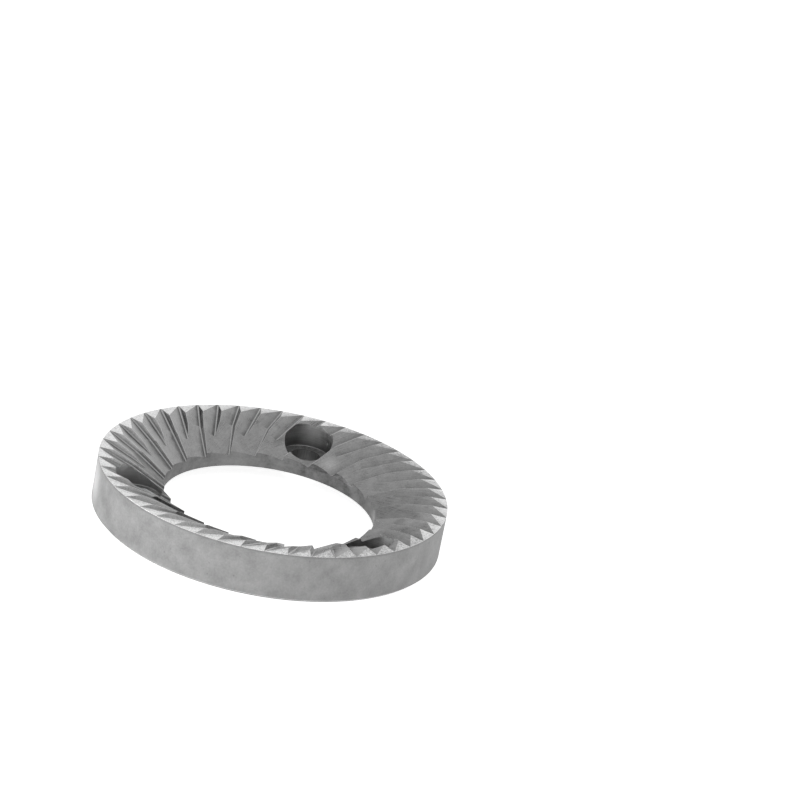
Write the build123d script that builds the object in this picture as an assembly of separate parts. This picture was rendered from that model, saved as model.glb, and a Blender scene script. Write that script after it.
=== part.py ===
from build123d import *
import os
from math import atan, cos, degrees, hypot, pi, radians, sin, sqrt, tan

# Flat coffee grinder burr: one ring of hardened steel, lying on its back with the teeth up.
# The origin is the middle of the back rim's plane, +Z points to the teeth, and one screw hole is on +Y.
# All lengths are millimetres and all angles are degrees.

# Ring
OUTER_D = 64.0
BORE_D = 39.0
HEIGHT = 8.9
EDGE_CHAMFER = 0.4

# Recess in the back, which centres the burr on its carrier and leaves a ground rim to sit on
RECESS_D = 57.2
RECESS_DEPTH = 2.1
RECESS_FILLET = 0.5

# Screws: plain holes with flat-bottomed pockets for cheese heads, sunk from the tooth side
SCREW_COUNT = 3
SCREW_CIRCLE_D = 49.7
SCREW_HOLE_D = 5.4
HEAD_POCKET_D = 9.0
HEAD_SEAT_WEB = 2.0

# Fine teeth: V-grooves that start at nothing on the rim and fall towards the bore
FINE_COUNT = 48
FINE_LEAD = 19.9
FINE_FALL = 13.5
FINE_GENTLE = 21.0
FINE_STEEP = 45.6

# Coarse teeth: deeper V-grooves that take over from every second fine groove
COARSE_EVERY = 2
COARSE_LEAD = 12.7
COARSE_GENTLE = 19.6
COARSE_STEEP = 61.3
COARSE_START = 6.65
COARSE_BORE_WEB = 2.2

# Both cutters have the same rounded tip, and the first long groove trails a screw hole by this angle
ROOT_RADIUS = 0.3
TOOTH_PHASE = 2.0

# How far cutters reach past the faces that they break out of
OVERSHOOT = 2.0

outer_r = OUTER_D / 2
bore_r = BORE_D / 2
recess_r = RECESS_D / 2
first_hole_angle = 90.0
first_groove_angle = first_hole_angle - TOOTH_PHASE
coarse_count = FINE_COUNT // COARSE_EVERY


def run_to_radius(start_r, lead, end_r):
    """Plan length of a straight line from start_r in to end_r, which leans by lead off the radius."""
    offset = start_r * sin(radians(lead))
    return start_r * cos(radians(lead)) - sqrt(end_r**2 - offset**2)


def inward(lead):
    """Plan direction of a groove whose outer end is on +X: inward, leaning anticlockwise by lead."""
    return Vector(-cos(radians(lead)), sin(radians(lead)), 0)


def ring_blank():
    """The turned ring: plain top, chamfered outer foot and a recess with a rounded corner in the back."""
    outline = Polyline(
        (bore_r, RECESS_DEPTH),
        (recess_r, RECESS_DEPTH),
        (recess_r, 0),
        (outer_r - EDGE_CHAMFER, 0),
        (outer_r, EDGE_CHAMFER),
        (outer_r, HEIGHT),
        (bore_r, HEIGHT),
        close=True,
    )
    section = make_face(Plane.XZ * outline)
    corner = section.vertices().sort_by_distance((recess_r, 0, RECESS_DEPTH))[0]
    section = fillet(corner, RECESS_FILLET)
    return revolve(section, Axis.Z)


def groove_cutter(start, lead, fall, gentle, steep, back, run, reach):
    """Straight V-cutter along a groove's root, with its flank angles measured square to the root.

    The root passes through start, leans by lead in plan and falls by fall towards the bore. It begins
    back before start and ends run after it, both in plan. The gentle flank, on the anticlockwise side,
    is reach wide, and the steep flank is on the clockwise side. The tip's sharp corner lies deeper than
    the root by what the rounding takes off it.
    """
    root = inward(lead) - Vector(0, 0, tan(radians(fall)))
    across = Vector(sin(radians(lead)), cos(radians(lead)), 0)
    rounded_off = ROOT_RADIUS * (cos(radians(steep - gentle) / 2) / cos(radians(steep + gentle) / 2) - 1)
    top = HEIGHT + OVERSHOOT
    outline = Polyline(
        (0, -rounded_off),
        (reach, reach * tan(radians(gentle)) - rounded_off),
        (reach, top),
        (-(top + rounded_off) / tan(radians(steep)), top),
        close=True,
    )
    section = make_face(outline)
    tip = section.vertices().sort_by_distance((0, -rounded_off, 0))[0]
    section = fillet(tip, ROOT_RADIUS)
    section = Plane(origin=start - root * back, x_dir=across, z_dir=-root) * section
    return extrude(section, amount=-(back + run) * root.length)


def fine_cutter():
    """Cutter of one fine groove, with its outer end on +X at the rim's top edge."""
    start = Vector(outer_r, 0, HEIGHT)
    run = outer_r * cos(radians(FINE_LEAD))
    pitch = pi * OUTER_D / FINE_COUNT
    return groove_cutter(start, FINE_LEAD, FINE_FALL, FINE_GENTLE, FINE_STEEP, OVERSHOOT, run, pitch)


def coarse_cutter():
    """Cutter of one coarse groove, which leaves the fine root on +X and keeps a web at the bore."""
    fine_root = inward(FINE_LEAD) - Vector(0, 0, tan(radians(FINE_FALL)))
    start = Vector(outer_r, 0, HEIGHT) + fine_root * COARSE_START
    start_r = hypot(start.X, start.Y)
    local_lead = COARSE_LEAD + degrees(atan(start.Y / start.X))
    run_to_bore = run_to_radius(start_r, local_lead, bore_r)
    drop = start.Z - RECESS_DEPTH - COARSE_BORE_WEB
    fall = degrees(atan(drop / run_to_bore))
    back = (HEIGHT - start.Z + OVERSHOOT) / tan(radians(fall))
    run = start_r * cos(radians(local_lead))
    pitch = 2 * pi * start_r / coarse_count
    return groove_cutter(start, COARSE_LEAD, fall, COARSE_GENTLE, COARSE_STEEP, back, run, pitch)


def cut_all(body, cutter, locations):
    """Take the cutter away from the body at each location."""
    for location in locations:
        body = body - location * cutter
    return body


def screw_cutter():
    """Clearance hole through the web and a pocket above it for the screw's head, on the hole's own axis."""
    seat = RECESS_DEPTH + HEAD_SEAT_WEB
    align_bottom = (Align.CENTER, Align.CENTER, Align.MIN)
    hole = Cylinder(SCREW_HOLE_D / 2, HEIGHT, align=align_bottom)
    pocket = Pos(0, 0, seat) * Cylinder(HEAD_POCKET_D / 2, HEIGHT, align=align_bottom)
    return hole + pocket


burr = ring_blank()
burr = cut_all(burr, fine_cutter(), PolarLocations(0, FINE_COUNT, first_groove_angle))
burr = cut_all(burr, coarse_cutter(), PolarLocations(0, coarse_count, first_groove_angle))
burr = cut_all(burr, screw_cutter(), PolarLocations(SCREW_CIRCLE_D / 2, SCREW_COUNT, first_hole_angle))

os.makedirs("parts", exist_ok=True)
export_step(burr, "parts/burr.step")
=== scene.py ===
from math import atan2, cos, hypot, pi, radians, sin, tan

import bmesh
import bpy
from mathutils import Matrix, Vector


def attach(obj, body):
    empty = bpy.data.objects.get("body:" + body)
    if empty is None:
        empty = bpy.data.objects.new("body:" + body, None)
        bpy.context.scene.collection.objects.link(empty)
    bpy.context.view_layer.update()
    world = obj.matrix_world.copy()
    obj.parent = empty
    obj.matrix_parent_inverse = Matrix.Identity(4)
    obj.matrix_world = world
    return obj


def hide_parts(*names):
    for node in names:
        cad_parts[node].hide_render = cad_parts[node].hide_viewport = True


# The dressed coffee grinder burr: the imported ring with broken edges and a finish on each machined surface.
# Lengths are millimetres until they reach Blender, which works in metres.

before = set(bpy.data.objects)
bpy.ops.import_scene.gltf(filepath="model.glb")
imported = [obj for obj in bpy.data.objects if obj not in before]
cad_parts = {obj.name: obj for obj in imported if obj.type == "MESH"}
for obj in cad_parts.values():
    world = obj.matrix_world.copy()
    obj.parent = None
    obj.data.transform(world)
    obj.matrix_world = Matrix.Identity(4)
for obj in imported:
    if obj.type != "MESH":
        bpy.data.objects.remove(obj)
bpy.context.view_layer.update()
MM = 0.001

# Ring and screw pockets, as in the solid
OUTER_R = 32.0
BORE_R = 19.5
HEIGHT = 8.9
RIM_CHAMFER = 0.4
RECESS_R = 28.6
RECESS_DEPTH = 2.1
POCKET_CIRCLE_R = 24.85
POCKET_R = 4.5
HOLE_R = 2.7
POCKET_COUNT = 3
SEAT_Z = 4.1
FIRST_POCKET = radians(90)

# Grooves, as in the solid: where a root starts when its rim end is on +X, its lean and fall, and its flanks
FIRST_GROOVE = radians(88)
FINE_COUNT = 48
FINE_START = Vector((OUTER_R, 0.0, HEIGHT))
FINE_LEAD = radians(19.9)
FINE_FALL = radians(13.5)
FINE_FLANKS = (radians(21.0), radians(45.6))
COARSE_COUNT = 24
COARSE_START = Vector((25.747, 2.264, 7.304))
COARSE_LEAD = radians(12.7)
COARSE_FALL = radians(23.9)
COARSE_FLANKS = (radians(19.6), radians(61.3))
COARSE_ROOT_Z = 4.27

# Mesh: how near points, edges and places have to be to count as one, and which angles are flat or a corner
SAME_POINT = 0.0001
WELD = 0.01
NEAR = 0.05
FLAT_ANGLE = radians(0.5)
SHARP_ANGLE = radians(25)

# Broken edges and the pockets' rounded corners: size, steps and profile, and the shortest edge broken
EDGE_BREAK = 0.05
EDGE_STEPS = 2
POCKET_CORNER = 0.1
CORNER_STEPS = 3
ROUND_PROFILE = 0.5
LONG_EDGE = 1.0

# Coarse crests at the bore: they stand higher than in the solid, and wear has cut two of them back
TOOTH_END_Z = 4.2
TIP_LIFT = 0.32
TIP_LEAN = 0.13
WORN_FROM = radians(60)
WORN_TO = radians(85)
WORN_BACK = 0.6

# Face normals: upward share of an upright, a nearly upright and a level face, and inward share in the bore
UPRIGHT = 0.02
NEARLY_UPRIGHT = 0.1
LEVEL = 0.999
FACES_IN = 0.5

# Groove faces: share of a flank's tilt from which a face is that flank, and what a distance costs a groove
GENTLE_FROM = 0.8
STEEP_FROM = 0.9
ASIDE_COST = 0.002

# Machined surfaces, and which of them have their tool marks round the ring's axis or round a pocket's
REGIONS = [
    "land", "gentle", "steep", "root", "wall", "bore",
    "pocket", "seat", "hole", "recess", "back_rim", "edge",
]
TURNED = ("wall", "bore", "recess", "back_rim")
BORED = ("pocket", "seat", "hole")

# Tool marks: each groove's are moved on by a step, and faces outside the grooves count as far above a root.
# The bump has the marks' depth, and a share of it for the grain
GROOVE_STEP = 40.0
FAR_UP = 9.0
MARK_DEPTH = 0.002
GRAIN_SHARE = 0.5

# Noise: detail and roughness of each kind, the range that its values mostly fill, how much of that a speck's
# edge takes, and what the clouds add to the steel's roughness
STREAK_NOISE = (4.0, 0.6)
CLOUD_NOISE = (4.0, 0.55)
GRAIN_NOISE = (2.0, 0.6)
SPECK_NOISE = (2.0, 0.5)
NOISE_LOW = 0.3
NOISE_HIGH = 0.7
SPECK_EDGE = 0.06
CLOUD_ROUGHNESS = 0.05

# The usual clouds and grain, each a size and a tone, and the palest tone that any steel has
FAINT_CLOUDS = (5.0, 0.06)
FAINT_GRAIN = (0.25, 0.04)
PALEST = 0.98

# Painted shade and reflection near the roots: the flanks are darkened above the rounded root, for shade in
# the groove and the dark steep flank mirrored in the glossy gentle one. What the streaks add to its ragged
# edge, and that edge and its start as shares of its reach above the rounded root. It lies mostly on one side
# of the ring, and fades as the direction turns away from there
ROOT_EDGE = 0.2
ROOT_SHADE_STREAKS = 0.5
ROOT_SHADE_RAGGED = 0.6
ROOT_SHADE_START = 0.45
SHADED_SIDE = Vector((cos(radians(168)), sin(radians(168)), 0))
SHADED_SIDE_LOW = 0.35
SHADED_SIDE_HIGH = 0.8
LEAST_ROOT_SHADE = 0.2

# Stained patches, and patches of painted light and shade: where the middle is, the size and the change of
# tone.
# Their ragged edge is a share of the size, and so are the distances at which they are full and gone
STAIN_RAGGED = 0.8
STAIN_FULL = 0.6
STAIN_GONE = 1.4
FLANK_STAINS = (
    ((26.0, -10.0, 7.5), 13.0, -0.38),
    ((5.0, -29.0, 8.3), 6.0, -0.26),
    ((13.8, -22.8, 6.0), 3.5, 0.45),
    ((5.6, 20.5, 5.5), 2.4, 0.28),
    ((-4.9, 22.8, 6.5), 1.7, -0.24),
    ((-10.5, 24.7, 8.2), 0.7, -0.3),
    ((3.9, 28.0, 8.0), 0.6, 0.5),
)
# Darker patches on the lands on the right: partly a duller finish, partly a painted reflection of a second
# burr standing beside the ring
LAND_DULLING_AND_REFLECTION = (
    ((23.0, -19.3, 8.9), 22.0, -0.35),
    ((14.1, 26.5, 8.9), 18.0, -0.28),
)
# Painted light and shade on the pocket walls: two small highlights and a broad shaded patch in one pocket,
# and another pocket lit up as a whole
POCKET_PAINTED_LIGHT = (
    ((3.0, 28.2, 6.0), 0.35, 0.9),
    ((3.3, 28.4, 7.5), 0.5, 0.6),
    ((3.9, 26.4, 6.2), 4.5, -0.4),
    ((-21.5, -12.4, 6.5), 14.0, 0.8),
)
# Painted light on the outer wall: a patch made lighter where the lamps light it
WALL_PAINTED_LIGHT = (((-29.5, -12.5, 5.0), 6.0, 0.75),)
BORE_STAINS = (
    ((5.5, 18.7, 3.5), 8.0, -0.18),
    ((-11.5, 15.7, 3.5), 5.5, 0.28),
    ((18.1, 7.3, 3.5), 2.5, 0.7),
)

# Camera, fitted to the photograph: the ring's origin right of, below and ahead of the lens
FOCAL_SHARE = 4.4924
SENSOR = 36.0
CAMERA_TILT = radians(21.836)
CAMERA_ROLL = radians(11.341)
RING_TURN = radians(-9.95)
ORIGIN_SEEN_AT = Vector((-24.414, 22.192, 653.311))
CLIP_NEAR = 10.0
CLIP_FAR = 20000.0

# Light: each softbox's direction clockwise from straight ahead, half its width, its lower and upper edge,
# all in degrees, and its strength
SURROUND = 0.02
SOFTBOXES = {
    "low on the left": (268, 24, -20, 12, 7.2),
    "low behind on the left": (205, 42, -20, 12, 2.9),
    "low ahead": (0, 22, -20, 12, 0.95),
    "ahead": (0, 25, 12, 38, 0.28),
    "ahead on the right": (30, 60, 12, 38, 0.58),
    "left": (245, 32, 12, 38, 0.22),
    "overhead": (0, 180, 38, 120, 0.52),
}
SOFT_SIDE = radians(15)
SOFT_EDGE = radians(8)

# Floor: its size, its gap below the ring, its tone, and its glow as the camera and as the steel see it
FLOOR_SIZE = 6000.0
FLOOR_DROP = 0.02
FLOOR_TONE = 0.9
FLOOR_SEEN = 0.9
FLOOR_MIRRORED = 0.46


def radius(point):
    return hypot(point.x, point.y)


def on_ring(edge, ring_radius, axis, height):
    """Whether the edge is part of a circle round the axis at this height."""
    for vert in edge.verts:
        away = abs(hypot(vert.co.x - axis.x, vert.co.y - axis.y) - ring_radius)
        if away > NEAR or abs(vert.co.z - height) > NEAR:
            return False
    return True


def pocket_axes():
    step = 2 * pi / POCKET_COUNT
    angles = [FIRST_POCKET + i * step for i in range(POCKET_COUNT)]
    return [Vector((POCKET_CIRCLE_R * cos(a), POCKET_CIRCLE_R * sin(a), 0)) for a in angles]


def pocket_near(point, axes):
    for axis in axes:
        if hypot(point.x - axis.x, point.y - axis.y) < POCKET_R + NEAR:
            return axis
    return None


def tidy_copy(node):
    """A copy of the node's mesh in millimetres, with its flat faces whole, as a bmesh."""
    mesh = bmesh.new()
    mesh.from_mesh(node.data)
    bmesh.ops.scale(mesh, vec=(1 / MM,) * 3, verts=mesh.verts)
    bmesh.ops.remove_doubles(mesh, verts=mesh.verts, dist=SAME_POINT)
    bmesh.ops.dissolve_degenerate(mesh, edges=mesh.edges, dist=WELD)
    bmesh.ops.dissolve_limit(mesh, angle_limit=FLAT_ANGLE, verts=mesh.verts, edges=mesh.edges)
    return mesh


def split_bore(mesh):
    """Cut the bore's faces across below the teeth, so that the tooth ends move by themselves."""
    faces = []
    for face in mesh.faces:
        if abs(face.normal.z) < UPRIGHT and radius(face.calc_center_median()) < BORE_R + NEAR:
            faces.append(face)
    edges = {e for f in faces for e in f.edges}
    verts = {v for f in faces for v in f.verts}
    bmesh.ops.bisect_plane(
        mesh,
        geom=faces + list(edges) + list(verts),
        dist=WELD,
        plane_co=(0, 0, TOOTH_END_Z),
        plane_no=(0, 0, 1),
    )


def tip_move(inner, outer):
    """How far a coarse crest's end at the bore moves: back along the crest where it is worn, or else up."""
    turned = atan2(inner.y, inner.x)
    if WORN_FROM < turned < WORN_TO:
        return (outer - inner).normalized() * WORN_BACK
    return Vector((-sin(turned) * TIP_LEAN, cos(turned) * TIP_LEAN, TIP_LIFT))


def shape_tooth_ends(mesh):
    """Move the coarse crests' ends at the bore, and the flanks below by less, to nothing at the roots."""
    split_bore(mesh)
    moves = {}
    for edge in mesh.edges:
        inner, outer = sorted(edge.verts, key=lambda v: radius(v.co))
        at_bore = radius(inner.co) < BORE_R + NEAR and radius(outer.co) > BORE_R + LONG_EDGE
        if not (at_bore and edge.is_convex and edge.calc_face_angle(0) > SHARP_ANGLE):
            continue
        full_move = tip_move(inner.co, outer.co)
        gentle = max(edge.link_faces, key=lambda f: f.calc_area())
        crest_height = inner.co.z - COARSE_ROOT_Z
        for vert in gentle.verts:
            share = (vert.co.z - COARSE_ROOT_Z) / crest_height
            if radius(vert.co) < BORE_R + NEAR and share > 0:
                moves[vert] = full_move * share
    for vert, move in moves.items():
        vert.co += move


def bevel(mesh, edges, size, steps):
    """Round the edges, and give the new faces."""
    made = bmesh.ops.bevel(
        mesh,
        geom=edges,
        offset=size,
        offset_type="OFFSET",
        segments=steps,
        profile=ROUND_PROFILE,
        affect="EDGES",
        clamp_overlap=False,
    )
    return set(made["faces"])


def round_corners(mesh, axes):
    """Round the corner between each pocket's wall and seat, and give the new faces."""
    corners = [e for e in mesh.edges if any(on_ring(e, POCKET_R, a, SEAT_Z) for a in axes)]
    return bevel(mesh, corners, POCKET_CORNER, CORNER_STEPS)


def is_corner(edge, axes):
    """Whether the edge is an outer corner to break: a turned one, or a long one away from tooth ends."""
    if not (edge.is_convex and edge.calc_face_angle(0) > SHARP_ANGLE):
        return False
    height = (edge.verts[0].co.z + edge.verts[1].co.z) / 2
    turned = height < RIM_CHAMFER + NEAR or abs(height - RECESS_DEPTH) < NEAR
    turned = turned or any(on_ring(edge, HOLE_R, a, SEAT_Z) for a in axes)
    tooth_end = max(radius(v.co) for v in edge.verts) < BORE_R + WORN_BACK + NEAR
    return turned or (edge.calc_length() > LONG_EDGE and not tooth_end)


def break_edges(mesh, axes):
    """Break the outer corners, and give the new faces."""
    corners = [e for e in mesh.edges if is_corner(e, axes)]
    return bevel(mesh, corners, EDGE_BREAK, EDGE_STEPS)


class Groove:
    """One milled groove: its root, the direction across it, and which side of it a face is."""

    def __init__(self, start, lead, fall, flanks, turn, index):
        spin = Matrix.Rotation(turn, 3, "Z")
        self.start = spin @ start
        self.along = (spin @ Vector((-cos(lead), sin(lead), -tan(fall)))).normalized()
        self.across = spin @ Vector((sin(lead), cos(lead), 0))
        self.lift = self.across.cross(self.along)
        if self.lift.z < 0:
            self.lift.negate()
        self.gentle, self.steep = flanks
        self.index = index

    def misfit(self, normal, centre):
        """Near nothing where the face was cut along this groove. The nearest wins where two would do."""
        aside = abs((centre - self.start).dot(self.across))
        return abs(normal.dot(self.along)) + ASIDE_COST * aside

    def flank(self, normal):
        tilt = atan2(normal.dot(self.across), normal.dot(self.lift))
        if tilt < -GENTLE_FROM * self.gentle:
            return "gentle"
        return "steep" if tilt > STEEP_FROM * self.steep else "root"

    def lay(self, point, normal):
        """How far along the root the point is, and how far up the flank."""
        offset = point - self.start
        return offset.dot(self.along), offset.dot(normal.cross(self.along))


def all_grooves():
    fine = []
    for i in range(FINE_COUNT):
        turn = FIRST_GROOVE + i * 2 * pi / FINE_COUNT
        fine.append(Groove(FINE_START, FINE_LEAD, FINE_FALL, FINE_FLANKS, turn, i))
    coarse = []
    for i in range(COARSE_COUNT):
        turn = FIRST_GROOVE + i * 2 * pi / COARSE_COUNT
        coarse.append(Groove(COARSE_START, COARSE_LEAD, COARSE_FALL, COARSE_FLANKS, turn, FINE_COUNT + i))
    return fine + coarse


def region_of(face, axes):
    """Which machined surface the face is part of."""
    centre = face.calc_center_median()
    level = abs(face.normal.z) > LEVEL
    upright = abs(face.normal.z) < UPRIGHT
    inward = -(face.normal.x * centre.x + face.normal.y * centre.y) / radius(centre)
    if level and centre.z > HEIGHT - NEAR:
        return "land"
    if centre.z < RIM_CHAMFER + NEAR and radius(centre) > RECESS_R:
        return "back_rim" if level else "wall"
    if upright and radius(centre) > OUTER_R - 2 * NEAR:
        return "wall"
    if centre.z < RECESS_DEPTH + NEAR and face.normal.z < NEARLY_UPRIGHT:
        return "recess"
    if inward > FACES_IN and radius(centre) < BORE_R + WORN_BACK:
        return "bore"
    axis = pocket_near(centre, axes)
    if axis and (upright or (level and centre.z < SEAT_Z + NEAR)):
        off_axis = hypot(centre.x - axis.x, centre.y - axis.y)
        if off_axis < HOLE_R + NEAR:
            return "hole"
        return "seat" if level else "pocket"
    return "flank"


def finish_of(face, region, rounded, broken, axes):
    """The face's finish: that of its surface, unless it is part of a rounded corner or a broken edge."""
    centre = face.calc_center_median()
    if face in rounded:
        return "root"
    if face not in broken:
        return region
    if pocket_near(centre, axes) and centre.z < SEAT_Z + NEAR:
        return "seat"
    return "bore" if radius(centre) < BORE_R + WORN_BACK else "edge"


def lay_on(point, face, region, groove, axes):
    """Position along and across the tool marks of the face, and how far it is above a groove's root."""
    if groove:
        along, up = groove.lay(point, face.normal)
        return (along, up + GROOVE_STEP * groove.index), abs(up)
    if region in TURNED:
        turned = radius(point) * atan2(point.y, point.x)
        across = point.z if region in ("wall", "bore") else point.z + radius(point)
        return (turned, across), FAR_UP
    if region in BORED:
        aside = point - pocket_near(face.calc_center_median(), axes)
        return (POCKET_R * atan2(aside.y, aside.x), point.z + radius(aside)), FAR_UP
    return (point.x, point.y), FAR_UP


def dress_faces(mesh, rounded, broken, axes):
    """Give each face its finish, and its tool marks' directions and height above a root in UV maps."""
    lay = mesh.loops.layers.uv.new("lay")
    foot = mesh.loops.layers.uv.new("foot")
    grooves = all_grooves()
    for face in mesh.faces:
        centre = face.calc_center_median()
        region = "seat" if face in rounded else region_of(face, axes)
        groove = None
        if region == "flank":
            groove = min(grooves, key=lambda g: g.misfit(face.normal, centre))
            region = groove.flank(face.normal)
        for loop in face.loops:
            loop[lay].uv, above_root = lay_on(loop.vert.co, face, region, groove, axes)
            loop[foot].uv = (above_root, 0)
        finish = finish_of(face, region, rounded, broken, axes)
        face.smooth = finish != "bore" or abs(face.normal.z) < NEARLY_UPRIGHT
        face.material_index = REGIONS.index(finish)
    for edge in mesh.edges:
        edge.smooth = edge.calc_face_angle(0) < SHARP_ANGLE


def dressed_burr(node, materials):
    """The piece that stands for the ring, with a finish on each face."""
    axes = pocket_axes()
    mesh = tidy_copy(node)
    shape_tooth_ends(mesh)
    rounded = round_corners(mesh, axes)
    broken = break_edges(mesh, axes)
    mesh.normal_update()
    dress_faces(mesh, rounded, broken, axes)
    bmesh.ops.scale(mesh, vec=(MM,) * 3, verts=mesh.verts)
    data = bpy.data.meshes.new("burr_dressed")
    mesh.to_mesh(data)
    mesh.free()
    for name in REGIONS:
        data.materials.append(materials[name])
    piece = bpy.data.objects.new("burr_dressed", data)
    bpy.context.scene.collection.objects.link(piece)
    weighted = piece.modifiers.new("flat_faces", "WEIGHTED_NORMAL")
    weighted.mode = "FACE_AREA"
    weighted.keep_sharp = True
    return piece


class Tree:
    """The node tree of a material or a world, with short calls for the nodes used here."""

    def __init__(self, owner):
        owner.use_nodes = True
        self.nodes = owner.node_tree.nodes
        self.links = owner.node_tree.links
        self.nodes.clear()

    def add(self, kind, inputs=None, **settings):
        made = self.nodes.new(kind)
        for name, value in settings.items():
            setattr(made, name, value)
        for name, value in (inputs or {}).items():
            self.put(made.inputs[name], value)
        return made

    def put(self, socket, value):
        if isinstance(value, bpy.types.NodeSocket):
            self.links.new(value, socket)
        else:
            socket.default_value = value

    def math(self, operation, *values):
        made = self.nodes.new("ShaderNodeMath")
        made.operation = operation
        for socket, value in zip(made.inputs, values):
            self.put(socket, value)
        return made.outputs[0]

    def vector(self, operation, *values):
        made = self.nodes.new("ShaderNodeVectorMath")
        made.operation = operation
        for socket, value in zip(made.inputs, values):
            self.put(socket, value)
        return made

    def spread(self, value, low, high, to_low, to_high, kind="LINEAR"):
        inputs = {"Value": value, "From Min": low, "From Max": high, "To Min": to_low, "To Max": to_high}
        return self.add("ShaderNodeMapRange", inputs, interpolation_type=kind).outputs["Result"]

    def sway(self, noise, middle, amount):
        """The noise as a change by up to this amount either way."""
        return self.spread(noise, NOISE_LOW, NOISE_HIGH, middle - amount, middle + amount)

    def noise(self, vector, size, detail, roughness):
        inputs = {"Vector": vector, "Scale": 1 / size, "Detail": detail, "Roughness": roughness}
        return self.add("ShaderNodeTexNoise", inputs).outputs["Fac"]

    def lay(self, along, across):
        """The tool marks' coordinates, with one unit for each mark's length and width."""
        uv = self.add("ShaderNodeUVMap", uv_map="lay").outputs["UV"]
        scale = (1 / along, 1 / across, 1)
        return self.add("ShaderNodeMapping", {"Vector": uv, "Scale": scale}).outputs["Vector"]

    def above_root(self):
        uv = self.add("ShaderNodeUVMap", uv_map="foot").outputs["UV"]
        return self.add("ShaderNodeSeparateXYZ", {"Vector": uv}).outputs["X"]

    def place(self):
        """Position on the part in millimetres."""
        at = self.add("ShaderNodeTexCoord").outputs["Object"]
        return self.add("ShaderNodeMapping", {"Vector": at, "Scale": (1 / MM,) * 3}).outputs["Vector"]

    def end(self, kind, shader):
        out = self.add(kind)
        self.links.new(shader, out.inputs["Surface"])


def add_specks(tree, shade, place, specks):
    size, change, level = specks
    spots = tree.noise(place, size, *SPECK_NOISE)
    return tree.math("SUBTRACT", shade, tree.spread(spots, level, level + SPECK_EDGE, 0.0, change))


# A lighter or darker patch with a ragged edge: some are stained spots, some are painted light and shade
def add_stain_or_painted_light(tree, shade, place, cloud, stain_or_painted_light):
    middle, size, change = stain_or_painted_light
    away = tree.vector("DISTANCE", place, middle).outputs["Value"]
    away = tree.math("MULTIPLY_ADD", cloud, STAIN_RAGGED * size, away)
    patch = tree.spread(away, STAIN_FULL * size, STAIN_GONE * size, change, 0.0, "SMOOTHSTEP")
    return tree.math("ADD", shade, patch)


# Painted shade along a flank: darker near the root, brighter higher up
def add_flank_shading(tree, shade, flank_shading):
    height, amount = flank_shading
    rise = tree.spread(tree.above_root(), ROOT_EDGE, height, 1 - amount, 1 + amount, "SMOOTHSTEP")
    return tree.math("MULTIPLY", shade, rise)


# Painted shade and reflection: darkens a flank above the rounded root, most on one side of the ring
def add_root_shade(tree, shade, place, streaks, cloud, root_shade):
    share, reach = root_shade
    uneven = tree.math("MULTIPLY_ADD", streaks, ROOT_SHADE_STREAKS, cloud)
    ragged = tree.math("MULTIPLY_ADD", uneven, ROOT_SHADE_RAGGED * reach, tree.above_root())
    start = ROOT_EDGE + ROOT_SHADE_START * reach
    dark = tree.spread(ragged, start, start + reach, share, 0.0, "SMOOTHSTEP")
    direction = tree.vector("NORMALIZE", place).outputs["Vector"]
    towards = tree.vector("DOT_PRODUCT", direction, SHADED_SIDE).outputs["Value"]
    dark = tree.math("MULTIPLY", dark, tree.spread(towards, SHADED_SIDE_LOW, SHADED_SIDE_HIGH, LEAST_ROOT_SHADE, 1.0))
    return tree.math("MULTIPLY", shade, tree.math("SUBTRACT", 1.0, dark))


# Darker towards one level: in a pocket this is painted shade low down, on the outer wall a darker band at
# its top edge
def add_shade_by_height(tree, shade, place, shade_by_height):
    low, high, left = shade_by_height
    height = tree.add("ShaderNodeSeparateXYZ", {"Vector": place}).outputs["Z"]
    return tree.math("MULTIPLY", shade, tree.spread(height, low, high, left, 1.0, "SMOOTHSTEP"))


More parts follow.
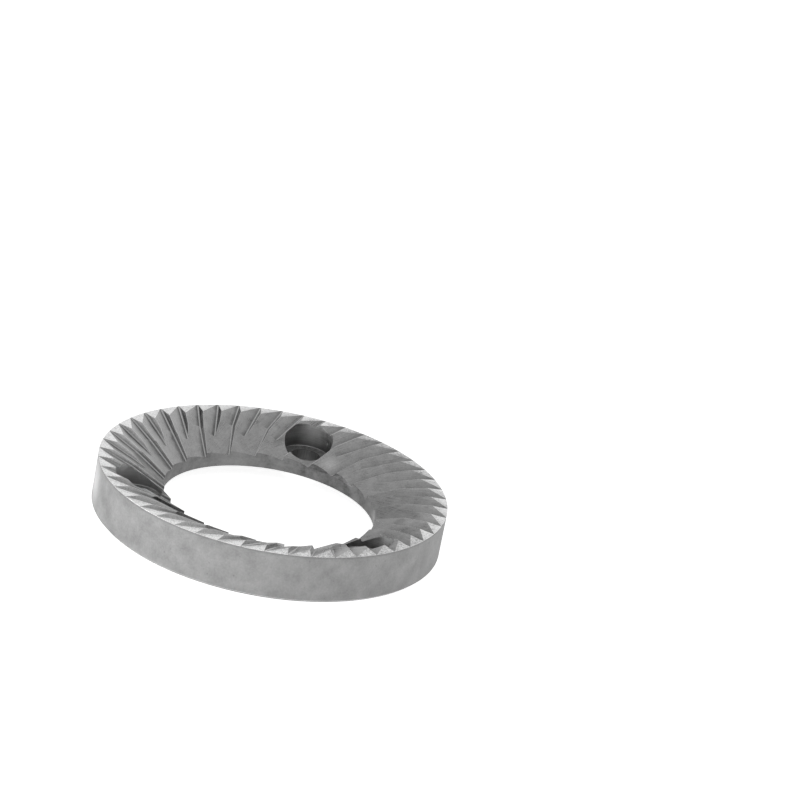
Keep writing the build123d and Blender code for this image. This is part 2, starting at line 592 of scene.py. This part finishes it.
def steel(
    name,
    tone,
    rough,
    marks,
    clouds=FAINT_CLOUDS,
    grain=FAINT_GRAIN,
    specks=None,
    root_shade=None,
    shade_by_height=None,
    stains_and_painted_light=(),
    flank_shading=None,
):
    """Hardened tool steel with a tone and a roughness, what the tools and use have left on it, and painted
    light and shade.

    marks are tool marks along the lay: their length, width, tone and roughness. clouds and grain are a
    size and a tone. specks are a size, a tone and the level of noise they start at. residue is painted shade
    and reflection that darkens a flank by a share, up to a height above the root. deep is a level, a second
    one from which the tone is whole, and the share of the tone that is left at the first; in a pocket this
    is painted shade low down. stains are patches with ragged edges, some of them painted light and shade: a
    place, a size and a tone. rubbed is painted shade along a flank: the height above a root at which the
    flank is brightest, and by how much.
    """
    mark_length, mark_width, mark_tone, mark_rough = marks
    cloud_size, cloud_tone = clouds
    grain_size, grain_tone = grain
    material = bpy.data.materials.new(name)
    tree = Tree(material)
    place = tree.place()
    streaks = tree.noise(tree.lay(mark_length, mark_width), 1.0, *STREAK_NOISE)
    cloud = tree.noise(place, cloud_size, *CLOUD_NOISE)
    grains = tree.noise(place, grain_size, *GRAIN_NOISE)
    shade = tree.sway(streaks, 1, mark_tone)
    shade = tree.math("ADD", shade, tree.sway(cloud, 0, cloud_tone))
    shade = tree.math("ADD", shade, tree.sway(grains, 0, grain_tone))
    if specks:
        shade = add_specks(tree, shade, place, specks)
    for stain_or_painted_light in stains_and_painted_light:
        shade = add_stain_or_painted_light(tree, shade, place, cloud, stain_or_painted_light)
    if flank_shading:
        shade = add_flank_shading(tree, shade, flank_shading)
    if root_shade:
        shade = add_root_shade(tree, shade, place, streaks, cloud, root_shade)
    if shade_by_height:
        shade = add_shade_by_height(tree, shade, place, shade_by_height)
    value = tree.math("MINIMUM", tree.math("MULTIPLY", shade, tone), PALEST)
    grey = {"Red": value, "Green": value, "Blue": value}
    colour = tree.add("ShaderNodeCombineColor", grey).outputs["Color"]
    rough_marks = tree.sway(streaks, rough, mark_rough)
    rough_all = tree.math("ADD", rough_marks, tree.sway(cloud, 0, CLOUD_ROUGHNESS))
    height = tree.math("MULTIPLY", streaks, MARK_DEPTH * MM)
    height = tree.math("MULTIPLY_ADD", grains, GRAIN_SHARE * MARK_DEPTH * MM, height)
    relief = {"Height": height, "Distance": 1.0, "Strength": 1.0}
    bump = tree.add("ShaderNodeBump", relief).outputs["Normal"]
    inputs = {"Base Color": colour, "Metallic": 1.0, "Roughness": rough_all, "Normal": bump}
    shader = tree.add("ShaderNodeBsdfPrincipled", inputs).outputs["BSDF"]
    tree.end("ShaderNodeOutputMaterial", shader)
    return material


def tooth_finishes():
    """The finishes of the lands and of the grooves between them."""
    return {
        "land": steel(
            "ground_land",
            tone=0.92,
            rough=0.36,
            marks=(3.0, 0.3, 0.14, 0.06),
            clouds=(1.6, 0.1),
            grain=(0.3, 0.3),
            stains_and_painted_light=LAND_DULLING_AND_REFLECTION,
        ),
        # The gentle and steep flanks and the root are one milled surface; their tones differ with how light
        # falls on each, as painted light and shade
        "gentle": steel(
            "milled_flank",
            tone=0.415,
            rough=0.33,
            marks=(6.0, 0.2, 0.13, 0.08),
            clouds=(2.2, 0.14),
            grain=(0.3, 0.12),
            # painted shade and reflection above the root
            root_shade=(0.6, 0.8),
            stains_and_painted_light=FLANK_STAINS,
            # painted shade: darker near the root, brighter up the flank
            flank_shading=(2.4, 0.09),
        ),
        "steep": steel(
            "milled_steep_flank",
            tone=0.63,
            rough=0.33,
            marks=(6.0, 0.16, 0.1, 0.08),
            clouds=(2.4, 0.1),
            grain=(0.3, 0.12),
            # painted shade above the root
            root_shade=(0.35, 0.5),
        ),
        # The root's tone is raised for a painted highlight along the rounded roots and the pockets' rounded
        # corners
        "root": steel("milled_root_painted_highlight", tone=0.58, rough=0.28, marks=(4.0, 0.2, 0.12, 0.05)),
        # Broken edges: worn and bright, with the tone raised further for painted glints along the crests
        "edge": steel("worn_edge_painted_glint", tone=0.86, rough=0.3, marks=(3.0, 0.2, 0.05, 0.05)),
    }


def ring_finishes():
    """The finishes of the turned and ground surfaces round the ring."""
    return {
        "wall": steel(
            "hardened_wall",
            tone=0.42,
            rough=0.5,
            marks=(9.0, 3.0, 0.06, 0.05),
            clouds=(3.2, 0.17),
            grain=(0.35, 0.08),
            specks=(0.7, 0.25, 0.68),
            # darker towards the wall's top edge
            shade_by_height=(HEIGHT, 8.3, 0.75),
            stains_and_painted_light=WALL_PAINTED_LIGHT,
        ),
        "bore": steel(
            "turned_bore",
            tone=0.26,
            rough=0.42,
            marks=(2.0, 0.8, 0.16, 0.06),
            clouds=(2.4, 0.26),
            grain=(0.35, 0.12),
            stains_and_painted_light=BORE_STAINS,
        ),
        "recess": steel(
            "turned_recess",
            tone=0.5,
            rough=0.5,
            marks=(9.0, 0.2, 0.06, 0.06),
            clouds=(3.0, 0.12),
            specks=(1.2, 0.35, 0.68),
        ),
        "back_rim": steel(
            "ground_rim",
            tone=0.78,
            rough=0.38,
            marks=(3.0, 0.12, 0.05, 0.06),
            grain=(0.25, 0.07),
        ),
    }


def pocket_finishes():
    """The finishes of the screw holes and their head pockets."""
    return {
        "pocket": steel(
            "bored_pocket",
            tone=0.53,
            rough=0.5,
            marks=(9.0, 0.3, 0.18, 0.06),
            clouds=(2.0, 0.14),
            # painted shade, darker low in the pocket
            shade_by_height=(SEAT_Z, 7.0, 0.5),
            stains_and_painted_light=POCKET_PAINTED_LIGHT,
        ),
        # The seat's dark tone is painted shade: the seat lies low in the pocket
        "seat": steel("bored_seat_painted_shade", tone=0.2, rough=0.34, marks=(9.0, 0.16, 0.3, 0.08)),
        "hole": steel("drilled_hole", tone=0.37, rough=0.6, marks=(0.4, 6.0, 0.35, 0.06)),
    }


def add_camera():
    """Camera at the photograph's viewing angle and framing."""
    tilt = Matrix(
        ((1, 0, 0), (0, -sin(CAMERA_TILT), -cos(CAMERA_TILT)), (0, cos(CAMERA_TILT), -sin(CAMERA_TILT)))
    )
    roll = Matrix.Rotation(CAMERA_ROLL, 3, "Z")
    view = roll @ tilt @ Matrix.Rotation(RING_TURN, 3, "Z")
    right, down, ahead = view
    data = bpy.data.cameras.new("camera")
    data.sensor_width = SENSOR
    data.lens = FOCAL_SHARE * SENSOR
    data.clip_start = CLIP_NEAR * MM
    data.clip_end = CLIP_FAR * MM
    camera = bpy.data.objects.new("camera", data)
    turned = Matrix((right, -down, -ahead)).transposed().to_4x4()
    place = -(view.transposed() @ ORIGIN_SEEN_AT) * MM
    camera.matrix_world = Matrix.Translation(place) @ turned
    bpy.context.scene.collection.objects.link(camera)
    bpy.context.scene.camera = camera


def add_floor(seen, mirrored):
    """Plain white floor that keeps the ring's shadow, and is dark where the ring lies on it."""
    bpy.ops.mesh.primitive_plane_add(size=FLOOR_SIZE * MM, location=(0, 0, -FLOOR_DROP * MM))
    floor = bpy.context.object
    floor.name = "floor"
    material = bpy.data.materials.new("white_floor")
    tree = Tree(material)
    path = tree.add("ShaderNodeLightPath").outputs
    at = tree.add("ShaderNodeNewGeometry").outputs["Position"]
    away = tree.vector("LENGTH", at).outputs["Value"]
    outside = tree.math("GREATER_THAN", away, (OUTER_R - 2 * RIM_CHAMFER) * MM)
    inside = tree.math("LESS_THAN", away, BORE_R * MM)
    free = tree.math("MAXIMUM", outside, inside)
    mirror = tree.math("MAXIMUM", path["Is Glossy Ray"], path["Is Transmission Ray"])
    glow = tree.math("MULTIPLY", tree.math("MULTIPLY", mirror, mirrored), free)
    glow = tree.math("MULTIPLY_ADD", path["Is Camera Ray"], seen, glow)
    matt = tree.add("ShaderNodeBsdfDiffuse", {"Color": (FLOOR_TONE,) * 3 + (1,)}).outputs["BSDF"]
    white = tree.add("ShaderNodeEmission", {"Color": (1, 1, 1, 1), "Strength": glow}).outputs["Emission"]
    both = tree.nodes.new("ShaderNodeAddShader")
    tree.links.new(matt, both.inputs[0])
    tree.links.new(white, both.inputs[1])
    tree.end("ShaderNodeOutputMaterial", both.outputs["Shader"])
    floor.data.materials.append(material)


def add_world(surround, softboxes):
    """A studio of softboxes round the ring, each with soft edges, and a dim surround."""
    world = bpy.data.worlds.new("studio")
    tree = Tree(world)
    ray = tree.add("ShaderNodeTexCoord").outputs["Generated"]
    ray = tree.vector("NORMALIZE", ray).outputs["Vector"]
    rise = tree.math("ARCSINE", tree.add("ShaderNodeSeparateXYZ", {"Vector": ray}).outputs["Z"])
    level = tree.vector("MULTIPLY", ray, (1, 1, 0)).outputs["Vector"]
    level = tree.vector("NORMALIZE", level).outputs["Vector"]
    to_part = Matrix.Rotation(-RING_TURN, 3, "Z")
    total = surround
    for clockwise, half, low, high, strength in softboxes.values():
        middle = to_part @ Vector((sin(radians(clockwise)), cos(radians(clockwise)), 0))
        aside = tree.math("ARCCOSINE", tree.vector("DOT_PRODUCT", level, middle).outputs["Value"])
        side = radians(half)
        lower = radians(low)
        upper = radians(high)
        lit = tree.spread(aside, side - SOFT_SIDE, side + SOFT_SIDE, strength, 0.0, "SMOOTHSTEP")
        over = tree.spread(rise, lower - SOFT_EDGE, lower + SOFT_EDGE, 0.0, 1.0, "SMOOTHSTEP")
        under = tree.spread(rise, upper - SOFT_EDGE, upper + SOFT_EDGE, 1.0, 0.0, "SMOOTHSTEP")
        lit = tree.math("MULTIPLY", lit, tree.math("MULTIPLY", over, under))
        total = tree.math("ADD", lit, total)
    sky = tree.add("ShaderNodeBackground", {"Color": (1, 1, 1, 1), "Strength": total}).outputs["Background"]
    tree.end("ShaderNodeOutputWorld", sky)
    bpy.context.scene.world = world


finishes = {**tooth_finishes(), **ring_finishes(), **pocket_finishes()}
burr = dressed_burr(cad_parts["burr"], finishes)
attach(burr, "root")
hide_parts("burr")

add_camera()
add_floor(FLOOR_SEEN, FLOOR_MIRRORED)
add_world(SURROUND, SOFTBOXES)
bpy.context.scene.view_settings.view_transform = "Standard"
